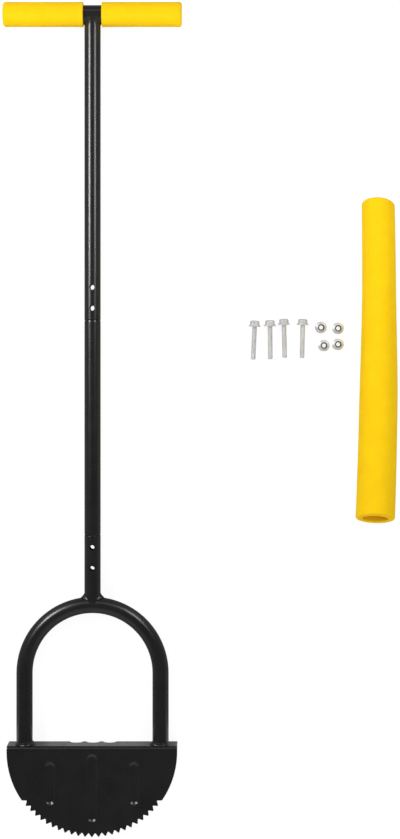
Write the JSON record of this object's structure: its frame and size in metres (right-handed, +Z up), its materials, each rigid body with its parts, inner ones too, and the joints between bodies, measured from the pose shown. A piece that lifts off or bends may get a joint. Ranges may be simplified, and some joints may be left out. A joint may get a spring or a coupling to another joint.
{
  "type": "half moon edger",
  "caption": "Long-handled lawn edger with a toothed half-moon blade, tread, tube bow, plug-together shaft and foam T-handle, laid flat with its bolts, nuts and spare sleeve.",
  "frame": {"origin": "middle of the whole layout, on the floor that the tool lies on", "axes": "+Y from the tip of the blade to the handle, +Z up from the floor towards the blade's face, +X to the right, towards the loose sleeve"},
  "size_m": [0.4715, 0.997, 0.0467],
  "materials": {
    "black_coat": "satin black powder coat on steel",
    "yellow_foam": "matt closed-cell foam",
    "zinc_plate": "bright zinc plate on steel",
    "nylon": "dark nylon"
  },
  "bodies": {
    "head": {"blade": "black_coat", "bow": "black_coat", "neck_tube": "black_coat", "neck_weld": "black_coat", "left_leg_weld": "black_coat", "right_leg_weld": "black_coat"},
    "middle_section": {"middle_tube": "black_coat"},
    "upper_section": {"upper_tube": "black_coat", "handle_bar": "black_coat", "handle_weld": "black_coat", "left_grip": "yellow_foam", "right_grip": "yellow_foam"},
    "loose_bolt_1": {"bolt_1": "zinc_plate"},
    "loose_bolt_2": {"bolt_2": "zinc_plate"},
    "loose_bolt_3": {"bolt_3": "zinc_plate"},
    "loose_bolt_4": {"bolt_4": "zinc_plate"},
    "loose_nut_1": {"nut_1": "zinc_plate", "nut_ring_1": "nylon"},
    "loose_nut_2": {"nut_2": "zinc_plate", "nut_ring_2": "nylon"},
    "loose_nut_3": {"nut_3": "zinc_plate", "nut_ring_3": "nylon"},
    "loose_nut_4": {"nut_4": "zinc_plate", "nut_ring_4": "nylon"},
    "loose_sleeve": {"grip_sleeve": "yellow_foam"}
  },
  "joints": [
    {"name": "middle_section_pull", "type": "slide", "parent": "head", "child": "middle_section", "axis": [0, 1, 0], "range_m": [0, 0.06]},
    {"name": "upper_section_pull", "type": "slide", "parent": "middle_section", "child": "upper_section", "axis": [0, 1, 0], "range_m": [0, 0.06]},
    {"name": "bolt_1_lift", "type": "slide", "parent": "head", "child": "loose_bolt_1", "axis": [0, 0, 1], "range_m": [0, 0.1]},
    {"name": "bolt_2_lift", "type": "slide", "parent": "head", "child": "loose_bolt_2", "axis": [0, 0, 1], "range_m": [0, 0.1]},
    {"name": "bolt_3_lift", "type": "slide", "parent": "head", "child": "loose_bolt_3", "axis": [0, 0, 1], "range_m": [0, 0.1]},
    {"name": "bolt_4_lift", "type": "slide", "parent": "head", "child": "loose_bolt_4", "axis": [0, 0, 1], "range_m": [0, 0.1]},
    {"name": "nut_1_lift", "type": "slide", "parent": "head", "child": "loose_nut_1", "axis": [0, 0, 1], "range_m": [0, 0.1]},
    {"name": "nut_2_lift", "type": "slide", "parent": "head", "child": "loose_nut_2", "axis": [0, 0, 1], "range_m": [0, 0.1]},
    {"name": "nut_3_lift", "type": "slide", "parent": "head", "child": "loose_nut_3", "axis": [0, 0, 1], "range_m": [0, 0.1]},
    {"name": "nut_4_lift", "type": "slide", "parent": "head", "child": "loose_nut_4", "axis": [0, 0, 1], "range_m": [0, 0.1]},
    {"name": "sleeve_lift", "type": "slide", "parent": "head", "child": "loose_sleeve", "axis": [0, 0, 1], "range_m": [0, 0.1]}
  ]
}
